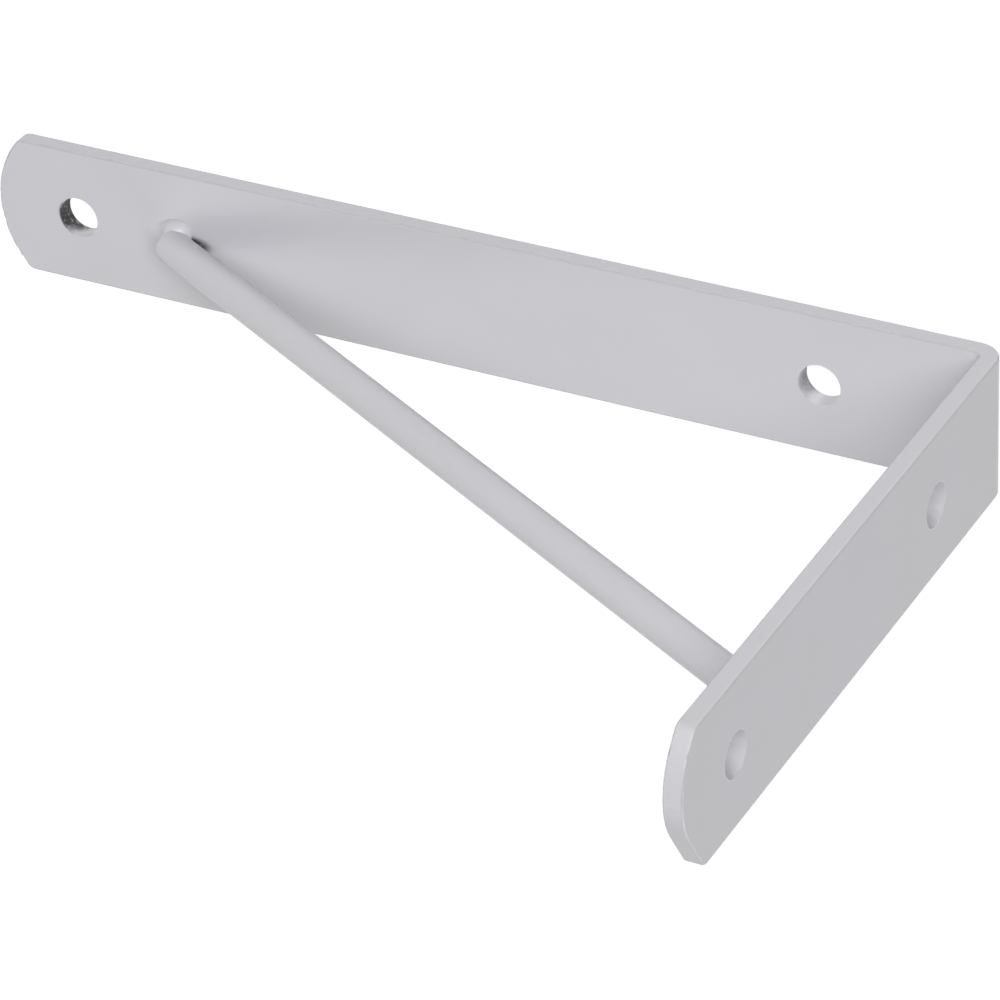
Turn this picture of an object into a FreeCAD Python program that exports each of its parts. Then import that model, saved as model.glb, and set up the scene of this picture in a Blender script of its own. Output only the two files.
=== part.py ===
import FreeCAD, Part
import math
import os

# Gallows shelf bracket: a flat bar bent to an L, with a round brace welded across the corner.
# X points out of the wall, Y runs across the bar and Z points up.
# The origin lies midway between the two wall holes, on the face that bears on the wall.
# The wall leg hangs down from the bend and the shelf leg runs out from it. All sizes are in millimetres.

# Flat bar
bar_width = 25.0
bar_thickness = 3.2
bend_inner_radius = 1.3
rim_radius = 0.4
end_corner_radius = 2.0

# Wall leg: its length and upper hole are measured down from the shelf face, its lower hole up from the tip
wall_leg_length = 183.4
wall_upper_hole_drop = 30.7
wall_lower_hole_margin = 15.7

# Shelf leg: its length and inner hole are measured out from the wall face, its outer hole back from the tip
shelf_leg_length = 116.3
shelf_inner_hole_reach = 27.9
shelf_outer_hole_margin = 17.3

# Cropped ends: a round nose, set to one side, with a straight flank on each side at its own slope in degrees
wall_nose_radius = 18.6
wall_nose_offset = 0.0
wall_flank_slopes = (45.0, 45.0)
shelf_nose_radius = 13.1
shelf_nose_offset = -1.7
shelf_flank_slopes = (40.0, 31.5)

# Screw holes, the same in both legs
hole_diameter = 7.3

# Round brace: where its axis meets each leg, from the outer hole there, and how far its crop bites in
brace_diameter = 5.9
brace_wall_gap = 15.3
brace_shelf_gap = 13.8
brace_wall_bite = 0.3
brace_shelf_bite = 0.8

# Weld beads: width across the bar, length along the leg, height on the leg and shift away from the bend
wall_bead_width = 8.0
wall_bead_length = 4.6
wall_bead_height = 3.0
wall_bead_shift = -1.1
shelf_bead_width = 8.4
shelf_bead_length = 8.0
shelf_bead_height = 2.2
shelf_bead_shift = 0.6

# Overrun of cutting tools past the faces that they cut, and the smallest length told apart
overrun = 1.0
tolerance = 1e-6

# Worked-out places
bend_outer_radius = bend_inner_radius + bar_thickness
hole_radius = hole_diameter / 2
brace_radius = brace_diameter / 2
wall_hole_spacing = wall_leg_length - wall_upper_hole_drop - wall_lower_hole_margin
shelf_outer_hole_reach = shelf_leg_length - shelf_outer_hole_margin
shelf_face_z = wall_upper_hole_drop + wall_hole_spacing / 2
shelf_inner_z = shelf_face_z - bar_thickness
wall_tip_z = shelf_face_z - wall_leg_length

x_axis = FreeCAD.Vector(1, 0, 0)
y_axis = FreeCAD.Vector(0, 1, 0)
z_axis = FreeCAD.Vector(0, 0, 1)

wall_foot = FreeCAD.Vector(bar_thickness, 0, brace_wall_gap - wall_hole_spacing / 2)
shelf_foot = FreeCAD.Vector(shelf_outer_hole_reach - brace_shelf_gap, 0, shelf_inner_z)
brace_direction = (shelf_foot - wall_foot).normalize()


def bend_arc(centre, radius):
    """Quarter arc of the bend in the XZ plane, from the wall leg round to the shelf leg."""
    slant = radius * math.sqrt(0.5)
    start = centre + FreeCAD.Vector(-radius, 0, 0)
    middle = centre + FreeCAD.Vector(-slant, 0, slant)
    end = centre + FreeCAD.Vector(0, 0, radius)
    return Part.Arc(start, middle, end).toShape()


def line(start, end):
    """Straight edge between two points given as (x, z) at one side of the bar."""
    side = -bar_width / 2
    points = [FreeCAD.Vector(x, side, z) for x, z in (start, end)]
    return Part.makeLine(*points)


def bent_bar():
    """The L-shaped bar with square ends and sharp edges."""
    bend_x = bend_outer_radius
    bend_z = shelf_face_z - bend_outer_radius
    bend_centre = FreeCAD.Vector(bend_x, -bar_width / 2, bend_z)
    edges = [
        line((0, wall_tip_z), (0, bend_z)),
        bend_arc(bend_centre, bend_outer_radius),
        line((bend_x, shelf_face_z), (shelf_leg_length, shelf_face_z)),
        line((shelf_leg_length, shelf_face_z), (shelf_leg_length, shelf_inner_z)),
        line((shelf_leg_length, shelf_inner_z), (bend_x, shelf_inner_z)),
        bend_arc(bend_centre, bend_inner_radius),
        line((bar_thickness, bend_z), (bar_thickness, wall_tip_z)),
        line((bar_thickness, wall_tip_z), (0, wall_tip_z)),
    ]
    profile = Part.Face(Part.Wire(Part.__sortEdges__(edges)))
    return profile.extrude(y_axis * bar_width)


def flank(nose_radius, nose_offset, side, slope):
    """Where a flank leaves the round nose, and a point on it well outside the bar, with the tip at x = 0."""
    angle = math.radians(slope)
    x = nose_radius * (math.cos(angle) - 1)
    y = nose_offset + side * nose_radius * math.sin(angle)
    start = FreeCAD.Vector(x, y, -overrun)
    run = FreeCAD.Vector(-math.sin(angle), side * math.cos(angle), 0)
    return start, start + run * bar_width


def end_waste(tip, outwards, normal, nose_radius, nose_offset, flank_slopes):
    """What the crop takes off a leg's end, whose tip is given at the foot of its normal."""
    left_start, left_end = flank(nose_radius, nose_offset, -1, flank_slopes[0])
    right_start, right_end = flank(nose_radius, nose_offset, 1, flank_slopes[1])
    nose_tip = FreeCAD.Vector(0, nose_offset, -overrun)
    outside = [FreeCAD.Vector(overrun, point.y, -overrun) for point in (right_end, left_end)]
    edges = [
        Part.makeLine(left_end, left_start),
        Part.Arc(left_start, nose_tip, right_start).toShape(),
        Part.makePolygon([right_start, right_end, *outside, left_end]),
    ]
    profile = Part.Face(Part.Wire(edges))
    waste = profile.extrude(z_axis * (bar_thickness + 2 * overrun))
    waste.Placement = FreeCAD.Placement(tip, FreeCAD.Rotation(outwards, y_axis, normal, "XZY"))
    return waste


def is_straight_along(edge, direction):
    """True for a straight edge parallel to the direction."""
    if not isinstance(edge.Curve, Part.Line):
        return False
    return edge.Curve.Direction.cross(direction).Length < tolerance


def end_corners(bar):
    """The four edges through the thickness where a cropped end meets a side."""
    wall = [e for e in bar.Edges if is_straight_along(e, x_axis) and e.CenterOfMass.z < wall_foot.z]
    shelf = [e for e in bar.Edges if is_straight_along(e, z_axis) and e.CenterOfMass.x > shelf_foot.x]
    return wall + shelf


def rim_edges(bar):
    """Edges round the outline of the bar, on both faces: not the bend lines or those through it."""
    straight = [e for e in bar.Edges if isinstance(e.Curve, Part.Line)]
    through = [e for e in straight if abs(e.Length - bar_thickness) < tolerance]
    bend_lines = [e for e in straight if is_straight_along(e, y_axis)]
    left_out = through + bend_lines
    return [e for e in bar.Edges if not any(e.isSame(other) for other in left_out)]


def screw_holes():
    """Drills for the two holes in each leg."""
    depth = bar_thickness + 2 * overrun
    drills = []
    for z in (-wall_hole_spacing / 2, wall_hole_spacing / 2):
        drills.append(Part.makeCylinder(hole_radius, depth, FreeCAD.Vector(-overrun, 0, z), x_axis))
    for x in (shelf_inner_hole_reach, shelf_outer_hole_reach):
        start = FreeCAD.Vector(x, 0, shelf_inner_z - overrun)
        drills.append(Part.makeCylinder(hole_radius, depth, start, z_axis))
    return Part.makeCompound(drills)


def make_angle_strap():
    """The bent bar: cropped ends, worn edges and screw holes."""
    wall_tip = FreeCAD.Vector(0, 0, wall_tip_z)
    shelf_tip = FreeCAD.Vector(shelf_leg_length, 0, shelf_inner_z)
    wall_nose = (wall_nose_radius, wall_nose_offset, wall_flank_slopes)
    shelf_nose = (shelf_nose_radius, shelf_nose_offset, shelf_flank_slopes)
    bar = bent_bar()
    bar = bar.cut(end_waste(wall_tip, -z_axis, x_axis, *wall_nose))
    bar = bar.cut(end_waste(shelf_tip, x_axis, z_axis, *shelf_nose))
    bar = bar.makeFillet(end_corner_radius, end_corners(bar))
    bar = bar.makeFillet(rim_radius, rim_edges(bar))
    return bar.cut(screw_holes())


def brace_end(foot, inwards, leg_normal, bite):
    """Centre of a brace end, cropped square so that its lowest rim bites into the leg."""
    steepness = inwards.dot(leg_normal)
    rim_drop = brace_radius * math.sqrt(1 - steepness ** 2)
    return foot + inwards * ((rim_drop - bite) / steepness)


wall_end = brace_end(wall_foot, brace_direction, x_axis, brace_wall_bite)
shelf_end = brace_end(shelf_foot, -brace_direction, -z_axis, brace_shelf_bite)


def make_brace_rod(strap):
    """Round bar cropped square, with its ends flattened where they press on the legs."""
    length = (shelf_end - wall_end).Length
    rod = Part.makeCylinder(brace_radius, length, wall_end, brace_direction)
    return rod.cut(strap)


def backing(centre, normal):
    """Block behind a leg's inner face, which trims a bead flush."""
    reach = 4 * brace_diameter
    block = Part.makeBox(reach, reach, reach, FreeCAD.Vector(-reach / 2, -reach / 2, -reach))
    block.Placement = FreeCAD.Placement(centre, FreeCAD.Rotation(z_axis, normal))
    return block


def bead(centre, normal, width, length, height):
    """Oval dome of weld metal that stands on a leg."""
    ball = Part.makeSphere(1)
    stretch = FreeCAD.Matrix()
    stretch.scale(length / 2, width / 2, height)
    dome = ball.transformGeometry(stretch)
    dome.Placement = FreeCAD.Placement(centre, FreeCAD.Rotation(y_axis.cross(normal), y_axis, normal, "ZYX"))
    return dome.cut(backing(centre, normal))


def make_wall_weld(rod):
    """Bead round the lower end of the brace."""
    centre = FreeCAD.Vector(bar_thickness, 0, wall_end.z - wall_bead_shift)
    return bead(centre, x_axis, wall_bead_width, wall_bead_length, wall_bead_height).cut(rod)


def make_shelf_weld(rod):
    """Bead round the upper end of the brace, under the shelf leg."""
    centre = FreeCAD.Vector(shelf_end.x + shelf_bead_shift, 0, shelf_inner_z)
    return bead(centre, -z_axis, shelf_bead_width, shelf_bead_length, shelf_bead_height).cut(rod)


def export(name, shape):
    """Write one piece to its own file."""
    shape.exportStep(os.path.join("parts", name + ".step"))


def main():
    os.makedirs("parts", exist_ok=True)
    strap = make_angle_strap()
    rod = make_brace_rod(strap)
    export("angle_strap", strap)
    export("brace_rod", rod)
    export("wall_weld", make_wall_weld(rod))
    export("shelf_weld", make_shelf_weld(rod))


main()
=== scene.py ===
import bmesh
import bpy
import math
from mathutils import Matrix, Vector, noise


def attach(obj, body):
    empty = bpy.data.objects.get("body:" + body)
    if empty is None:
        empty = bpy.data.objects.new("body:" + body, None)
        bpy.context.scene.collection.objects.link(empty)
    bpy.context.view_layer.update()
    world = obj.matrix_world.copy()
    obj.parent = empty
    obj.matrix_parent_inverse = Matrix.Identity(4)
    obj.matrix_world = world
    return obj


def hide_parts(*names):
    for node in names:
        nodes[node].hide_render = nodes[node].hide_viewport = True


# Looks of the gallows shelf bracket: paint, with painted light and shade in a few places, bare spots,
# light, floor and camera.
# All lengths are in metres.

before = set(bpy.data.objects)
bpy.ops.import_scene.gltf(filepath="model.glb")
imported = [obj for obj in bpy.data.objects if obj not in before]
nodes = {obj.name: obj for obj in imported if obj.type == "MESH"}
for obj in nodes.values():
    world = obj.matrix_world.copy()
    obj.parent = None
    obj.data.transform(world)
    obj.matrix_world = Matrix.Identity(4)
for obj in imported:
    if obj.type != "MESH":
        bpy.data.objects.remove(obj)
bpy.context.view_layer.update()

# Camera, found from the photo's edges: a long lens with the bracket lying on its side in the picture
camera_target = Vector((0.0419, 0.0082, 0.0314))
camera_azimuth = math.radians(-36.21)
camera_elevation = math.radians(24.22)
camera_roll = math.radians(103.70)
camera_distance = 0.800
camera_lens = 184.66
sensor_width = 36.0
camera_clip_start = 0.01

# Paint and bare steel, as sRGB tones; the steel tones also paint shade in the upper wall hole and the
# crevice
paint_tone = (0.768, 0.764, 0.786)
paint_second_tone = (0.764, 0.762, 0.778)
thin_paint_tone = (0.715, 0.713, 0.725)
# Lighter tone for the shelf holes' bores: painted light, standing in for the light that falls in them
bore_painted_light_tone = (0.793, 0.790, 0.808)
bare_steel_and_shade_tone = (0.030, 0.030, 0.034)
scuffed_steel_tone = (0.480, 0.475, 0.480)
paint_roughness = (0.29, 0.33)
steel_roughness = 0.55

# The paint's texture: sizes, and the range of noise that each drift or mottle spans
drift_size = 0.030
drift_range = (0.35, 0.65)
gloss_drift_size = drift_size / 3
gloss_drift_range = (0.3, 0.7)
peel_size = 0.0012
peel_height = 0.000004
mottle_size = 0.0007
mottle_detail = 3.0
mottle_range = (0.50, 0.68)

# Shifts that give each paint its own stretch of the noise
strap_drift_shift = (0.0, 0.0, 0.0)
rod_drift_shift = (0.3, 0.0, 0.0)
weld_drift_shift = (0.0, 0.3, 0.0)

# Strap: its thickness, the height of the shelf face, the size of the square that holds the bend,
# and the gain that takes the rim's mask to 1 midway between face and edge
strap_thickness = 0.0032
shelf_face_z = 0.0992
bend_size = 0.0047
rim_gain = 4.0

# Bores of the screw holes: the radii between which a bore's mask fades, the places of the shelf holes,
# and for each wall hole its height, where its dark mark starts and is full, and how strong it is: bare
# steel in the lower hole, painted shade in the upper one
bore_radii = (0.00360, 0.00410)
shelf_hole_reaches = (0.0279, 0.0990)
wall_bore_wear_and_shade = ((-0.0685, 0.08, 0.74, 1.0), (0.0685, 0.55, 1.15, 0.60))

# Dark mark in a wall hole's bore, bare steel in the lower hole and painted shade in the upper one: the
# turn of its middle from straight down, how much less there is through the bar's thickness, and the size
# and depth of its ragged edge
bore_dark_angle = math.radians(12.0)
bore_depth_pull = -0.50
ragged_size = 0.0016
ragged_depth = 0.40

# Open crevice under the foot of the brace, bare inside and darkened with painted shade: its middle, its
# reach, and where its edge fades
crevice_foot = (0.0, 0.0003, -0.0470)
crevice_reach = (1.0, 0.0021, 0.0056)
crevice_fade = (1.0, 0.35)

# Weld round the foot of the brace: its middle, and its height there, its reach over the wall leg and how
# hollow its slope is, in eight directions from -Y through -Z, +Y and +Z
weld_foot = Vector((strap_thickness, 0.0, -0.0498))
weld_heights = (0.0040, 0.0036, 0.0030, 0.0030, 0.0030, 0.0030, 0.0034, 0.0041)
weld_reaches = (0.0038, 0.0037, 0.0060, 0.0072, 0.0060, 0.0044, 0.0034, 0.0043)
weld_hollows = (0.5, 0.8, 1.5, 2.0, 2.0, 1.4, 0.9, 0.6)
weld_depth = 0.0002
weld_lump_size = 0.0022
weld_lump_height = 0.20
weld_rings = 32
weld_spokes = 96
weld_crease = math.radians(50.0)

# Lamps: direction from the bracket, and power in watts
lamp_aim = Vector((0.045, 0.0, 0.02))
lamp_distance = 1.6
lamp_diameter = 1.2
lamps = {
    "key": ((0.74, -0.54, 0.41), 18.8),
    "front": ((0.70, -0.70, 0.00), 5.2),
    "side": ((-0.70, -0.70, 0.10), 7.4),
    "low_fill": ((0.74, 0.54, -0.41), 2.6),
    "top_back": ((0.00, 0.70, 0.70), 10.6),
}

# Floor and background
white_light = (1.0, 1.0, 1.0, 1.0)
soft_light = 0.193
floor_z = -1.2
floor_half_size = 8.0
floor_tone = (0.95, 0.95, 0.95)
floor_shown_tone = (0.74, 0.74, 0.74)
floor_glow = 0.90


def linear(tone):
    """Linear RGBA of an sRGB tone."""
    return tuple(c / 12.92 if c <= 0.04045 else ((c + 0.055) / 1.055) ** 2.4 for c in tone) + (1.0,)


class Nodes:
    """Short way to add and link shader nodes."""

    def __init__(self, owner):
        owner.use_nodes = True
        self.tree = owner.node_tree
        self.tree.nodes.clear()

    def add(self, kind, inputs=None, **settings):
        node = self.tree.nodes.new(kind)
        for name, value in settings.items():
            setattr(node, name, value)
        for name, value in (inputs or {}).items():
            if isinstance(value, bpy.types.NodeSocket):
                self.tree.links.new(value, node.inputs[name])
            else:
                node.inputs[name].default_value = value
        return node

    def math(self, operation, *values):
        inputs = dict(enumerate(values))
        return self.add("ShaderNodeMath", inputs, operation=operation).outputs[0]

    def vector(self, operation, *values):
        inputs = dict(enumerate(values))
        return self.add("ShaderNodeVectorMath", inputs, operation=operation).outputs[0]

    def dot(self, a, b):
        return self.add("ShaderNodeVectorMath", {0: a, 1: b}, operation="DOT_PRODUCT").outputs["Value"]

    def length(self, a):
        return self.add("ShaderNodeVectorMath", {0: a}, operation="LENGTH").outputs["Value"]

    def mix(self, factor, a, b):
        return self.add("ShaderNodeMixRGB", {"Fac": factor, "Color1": a, "Color2": b}).outputs[0]

    def blend(self, factor, a, b):
        return self.add("ShaderNodeMix", {0: factor, 2: a, 3: b}).outputs[0]

    def split(self, vector):
        return self.add("ShaderNodeSeparateXYZ", {0: vector}).outputs

    def ramp(self, value, low, high, start=0.0, end=1.0):
        inputs = {"Value": value, "From Min": low, "From Max": high, "To Min": start, "To Max": end}
        return self.add("ShaderNodeMapRange", inputs, interpolation_type="SMOOTHSTEP").outputs[0]

    def noise(self, position, size, detail=2.0):
        inputs = {"Vector": position, "Scale": 1.0 / size, "Detail": detail}
        return self.add("ShaderNodeTexNoise", inputs).outputs["Fac"]

    def seen_by_eye_or_gloss(self):
        path = self.add("ShaderNodeLightPath")
        seen = self.math("MAXIMUM", path.outputs["Is Camera Ray"], path.outputs["Is Glossy Ray"])
        return self.math("MAXIMUM", seen, path.outputs["Is Transmission Ray"])


def strap_rim(n, position):
    """Mask of the strap's rounded rims, where its normal lies between the face's and the edge's."""
    normal = n.add("ShaderNodeTexCoord").outputs["Normal"]
    squared = n.split(n.vector("MULTIPLY", normal, normal))
    place = n.split(position)
    below_shelf = n.math("SUBTRACT", shelf_face_z, place["Z"])
    on_wall_leg = n.math("GREATER_THAN", below_shelf, place["X"])
    furthest = n.math("MAXIMUM", below_shelf, place["X"])
    in_bend = n.math("LESS_THAN", furthest, bend_size)
    facing = n.blend(on_wall_leg, squared["Z"], squared["X"])
    facing = n.blend(in_bend, facing, squared["Y"])
    away = n.math("SUBTRACT", 1.0, facing)
    return n.math("MULTIPLY", n.math("MULTIPLY", facing, away), rim_gain)


def bore(n, position, centre, axes):
    """Offset from the axis of a screw hole and mask of its bore, from the axes that run across it."""
    across = n.vector("MULTIPLY", n.vector("SUBTRACT", position, centre), axes)
    inner, outer = bore_radii
    return across, n.ramp(n.length(across), outer, inner)


def shelf_bores_painted_light(n, position):
    """Mask of the shelf holes' bores, where a lighter tone paints in the light that falls there."""
    masks = [bore(n, position, (x, 0.0, 0.0), (1.0, 1.0, 0.0))[1] for x in shelf_hole_reaches]
    return n.math("MAXIMUM", *masks)


def bare_or_shaded_bore(n, position, hole_z, thin, gone, amount):
    """Mask of a wall hole's bore on its lower side: missing paint in the lower hole, painted shade in
    the upper one.
    """
    across, inside = bore(n, position, (0.0, 0.0, hole_z), (0.0, 1.0, 1.0))
    towards = (0.0, math.sin(bore_dark_angle), -math.cos(bore_dark_angle))
    side = n.dot(n.vector("NORMALIZE", across), towards)
    depth = n.dot(position, (bore_depth_pull / strap_thickness, 0.0, 0.0))
    ragged = n.math("MULTIPLY", n.noise(position, ragged_size), ragged_depth)
    reach = n.math("ADD", n.math("ADD", side, depth), ragged)
    return n.math("MULTIPLY", inside, n.ramp(reach, thin, gone, 0.0, amount))


def bare_and_shaded_bores(n, position):
    """Mask of both wall holes' bores: missing paint in the lower one, painted shade in the upper one."""
    return n.math("MAXIMUM", *(bare_or_shaded_bore(n, position, *wear) for wear in wall_bore_wear_and_shade))


def bare_and_shaded_crevice(n, position):
    """Mask of the crevice between the wall leg and the brace, which the paint didn't reach, with painted
    shade in it.

    It has no limit along X, so it marks the back of the wall leg too.
    """
    offset = n.vector("SUBTRACT", position, crevice_foot)
    across = n.vector("MULTIPLY", offset, (0.0, 1.0, 1.0))
    distance = n.length(n.vector("DIVIDE", across, crevice_reach))
    return n.ramp(distance, *crevice_fade)


def paint(name, drift_shift, tints_and_painted_light=(), bare_and_shade_masks=()):
    """Smooth pale paint with soft drift and fine orange peel, tinted, bare, or with painted light and
    shade where masks say.
    """
    material = bpy.data.materials.new(name)
    n = Nodes(material)
    position = n.add("ShaderNodeTexCoord").outputs["Object"]
    shifted = n.vector("ADD", position, drift_shift)
    drift = n.ramp(n.noise(shifted, drift_size), *drift_range)
    colour = n.mix(drift, linear(paint_tone), linear(paint_second_tone))
    # Tints: thinner paint on rims, and painted light in the shelf bores.
    for mask, tone in tints_and_painted_light:
        colour = n.mix(mask(n, position), colour, linear(tone))
    gloss_drift = n.noise(shifted, gloss_drift_size)
    roughness = n.ramp(gloss_drift, *gloss_drift_range, *paint_roughness)
    mottle = n.ramp(n.noise(position, mottle_size, mottle_detail), *mottle_range)
    steel = n.mix(mottle, linear(bare_steel_and_shade_tone), linear(scuffed_steel_tone))
    # Bare steel where paint is missing, and the same dark steel tones as painted shade in the upper wall
    # hole and the crevice.
    for mask in bare_and_shade_masks:
        bare = mask(n, position)
        colour = n.mix(bare, colour, steel)
        roughness = n.ramp(bare, 0.0, 1.0, roughness, steel_roughness)
    peel = n.add("ShaderNodeBump", {
        "Height": n.noise(shifted, peel_size),
        "Distance": peel_height,
        "Strength": 1.0,
    }).outputs[0]
    inputs = {"Base Color": colour, "Roughness": roughness, "Normal": peel}
    shader = n.add("ShaderNodeBsdfPrincipled", inputs)
    n.add("ShaderNodeOutputMaterial", {"Surface": shader.outputs[0]})
    return material


def dress(material, *names):
    """Give CAD pieces their material."""
    for name in names:
        for slot in nodes[name].material_slots:
            slot.material = material


def around(values, turn):
    """Value at a turn from 0 to 1, on a smooth closed curve through values spaced evenly."""
    count = len(values)
    index = int(turn * count)
    part = turn * count - index
    before, start, end, after = (values[(index + step) % count] for step in (-1, 0, 1, 2))
    cubic = 3.0 * (start - end) + after - before
    square = 2.0 * before - 5.0 * start + 4.0 * end - after
    return start + 0.5 * part * (end - before + part * (square + part * cubic))


def weld_point(spread, turn):
    """Point of the weld's surface, from its spread out of the peak and its turn round it."""
    angle = 2.0 * math.pi * turn
    outwards = Vector((0.0, -math.cos(angle), -math.sin(angle)))
    level = weld_foot + outwards * around(weld_reaches, turn) * spread
    lump = 1.0 + weld_lump_height * spread * noise.noise(level / weld_lump_size)
    height = around(weld_heights, turn) * (1.0 - spread) ** around(weld_hollows, turn)
    return level + Vector((height * lump, 0.0, 0.0))


def make_foot_weld():
    """Lumpy skirt of weld round the cropped end of the brace, its base a little inside the wall leg."""
    turns = [spoke / weld_spokes for spoke in range(weld_spokes)]
    spreads = [math.sin(math.pi / 2 * ring / weld_rings) for ring in range(1, weld_rings + 1)]
    rings = [[weld_point(spread, turn) for turn in turns] for spread in spreads]
    rings.append([point - Vector((weld_depth, 0.0, 0.0)) for point in rings[-1]])
    shape = bmesh.new()
    peak = shape.verts.new(weld_point(0.0, 0.0))
    loops = [[shape.verts.new(point) for point in ring] for ring in rings]
    for spoke in range(weld_spokes):
        following = (spoke + 1) % weld_spokes
        shape.faces.new((peak, loops[0][spoke], loops[0][following]))
        for upper, lower in zip(loops, loops[1:]):
            shape.faces.new((upper[spoke], lower[spoke], lower[following], upper[following]))
    shape.faces.new(loops[-1])
    bmesh.ops.recalc_face_normals(shape, faces=shape.faces)
    mesh = bpy.data.meshes.new("foot_weld")
    shape.to_mesh(mesh)
    shape.free()
    mesh.shade_smooth()
    mesh.set_sharp_from_angle(angle=weld_crease)
    weld = bpy.data.objects.new("foot_weld", mesh)
    bpy.context.scene.collection.objects.link(weld)
    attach(weld, "root")
    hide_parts("wall_weld")
    return weld


def make_floor():
    """Plain pale floor, which shows as white and still takes the bracket's shadow."""
    corners = [(x, y, floor_z) for x, y in ((-1, -1), (1, -1), (1, 1), (-1, 1))]
    corners = [(x * floor_half_size, y * floor_half_size, z) for x, y, z in corners]
    mesh = bpy.data.meshes.new("floor")
    mesh.from_pydata(corners, [], [(0, 1, 2, 3)])
    floor = bpy.data.objects.new("floor", mesh)
    bpy.context.scene.collection.objects.link(floor)
    material = bpy.data.materials.new("floor")
    n = Nodes(material)
    lit = n.add("ShaderNodeBsdfDiffuse", {"Color": linear(floor_tone)}).outputs[0]
    shown = n.add("ShaderNodeBsdfDiffuse", {"Color": linear(floor_shown_tone)}).outputs[0]
    glow = n.add("ShaderNodeEmission", {"Strength": floor_glow}).outputs[0]
    white = n.add("ShaderNodeAddShader", {0: shown, 1: glow}).outputs[0]
    surface = n.add("ShaderNodeMixShader", {0: n.seen_by_eye_or_gloss(), 1: lit, 2: white}).outputs[0]
    n.add("ShaderNodeOutputMaterial", {"Surface": surface})
    mesh.materials.append(material)


def make_world():
    """Soft light from all sides, and plain white where the eye or a reflection sees past the floor."""
    world = bpy.data.worlds.new("studio")
    bpy.context.scene.world = world
    n = Nodes(world)
    soft = n.add("ShaderNodeBackground", {"Color": white_light, "Strength": soft_light}).outputs[0]
    white = n.add("ShaderNodeBackground", {"Color": white_light, "Strength": 1.0}).outputs[0]
    surface = n.add("ShaderNodeMixShader", {0: n.seen_by_eye_or_gloss(), 1: soft, 2: white}).outputs[0]
    n.add("ShaderNodeOutputWorld", {"Surface": surface})


def make_lamps():
    """Large soft lamps around the bracket."""
    for name, (direction, power) in lamps.items():
        data = bpy.data.lights.new(name, "AREA")
        data.shape = "DISK"
        data.size = lamp_diameter
        data.energy = power
        lamp = bpy.data.objects.new(name, data)
        bpy.context.scene.collection.objects.link(lamp)
        away = Vector(direction).normalized()
        lamp.location = lamp_aim + away * lamp_distance
        lamp.rotation_euler = away.to_track_quat("Z", "Y").to_euler()
        lamp.visible_camera = False


def make_camera():
    """Camera at the photo's angle, distance and lens."""
    data = bpy.data.cameras.new("camera")
    data.lens = camera_lens
    data.sensor_width = sensor_width
    data.clip_start = camera_clip_start
    camera = bpy.data.objects.new("camera", data)
    bpy.context.scene.collection.objects.link(camera)
    level = math.cos(camera_elevation)
    towards_camera = Vector((
        level * math.cos(camera_azimuth),
        level * math.sin(camera_azimuth),
        math.sin(camera_elevation),
    ))
    look = (-towards_camera).to_track_quat("-Z", "Y").to_matrix().to_4x4()
    place = Matrix.Translation(camera_target + camera_distance * towards_camera)
    camera.matrix_world = place @ look @ Matrix.Rotation(camera_roll, 4, "Z")
    bpy.context.scene.camera = camera


def main():
    # The strap gets painted light in the shelf bores and painted shade in the upper wall hole and the
    # crevice, besides thin rims and bare steel.
    strap_tints_and_painted_light = ((strap_rim, thin_paint_tone), (shelf_bores_painted_light, bore_painted_light_tone))
    strap_bare_and_shade = (bare_and_shaded_bores, bare_and_shaded_crevice)
    dress(paint("strap_paint", strap_drift_shift, strap_tints_and_painted_light, strap_bare_and_shade), "angle_strap")
    dress(paint("rod_paint", rod_drift_shift), "brace_rod")
    weld_paint = paint("weld_paint", weld_drift_shift)
    dress(weld_paint, "wall_weld", "shelf_weld")
    make_foot_weld().data.materials.append(weld_paint)
    make_floor()
    make_world()
    make_lamps()
    make_camera()
    bpy.context.scene.view_settings.view_transform = "Standard"


main()
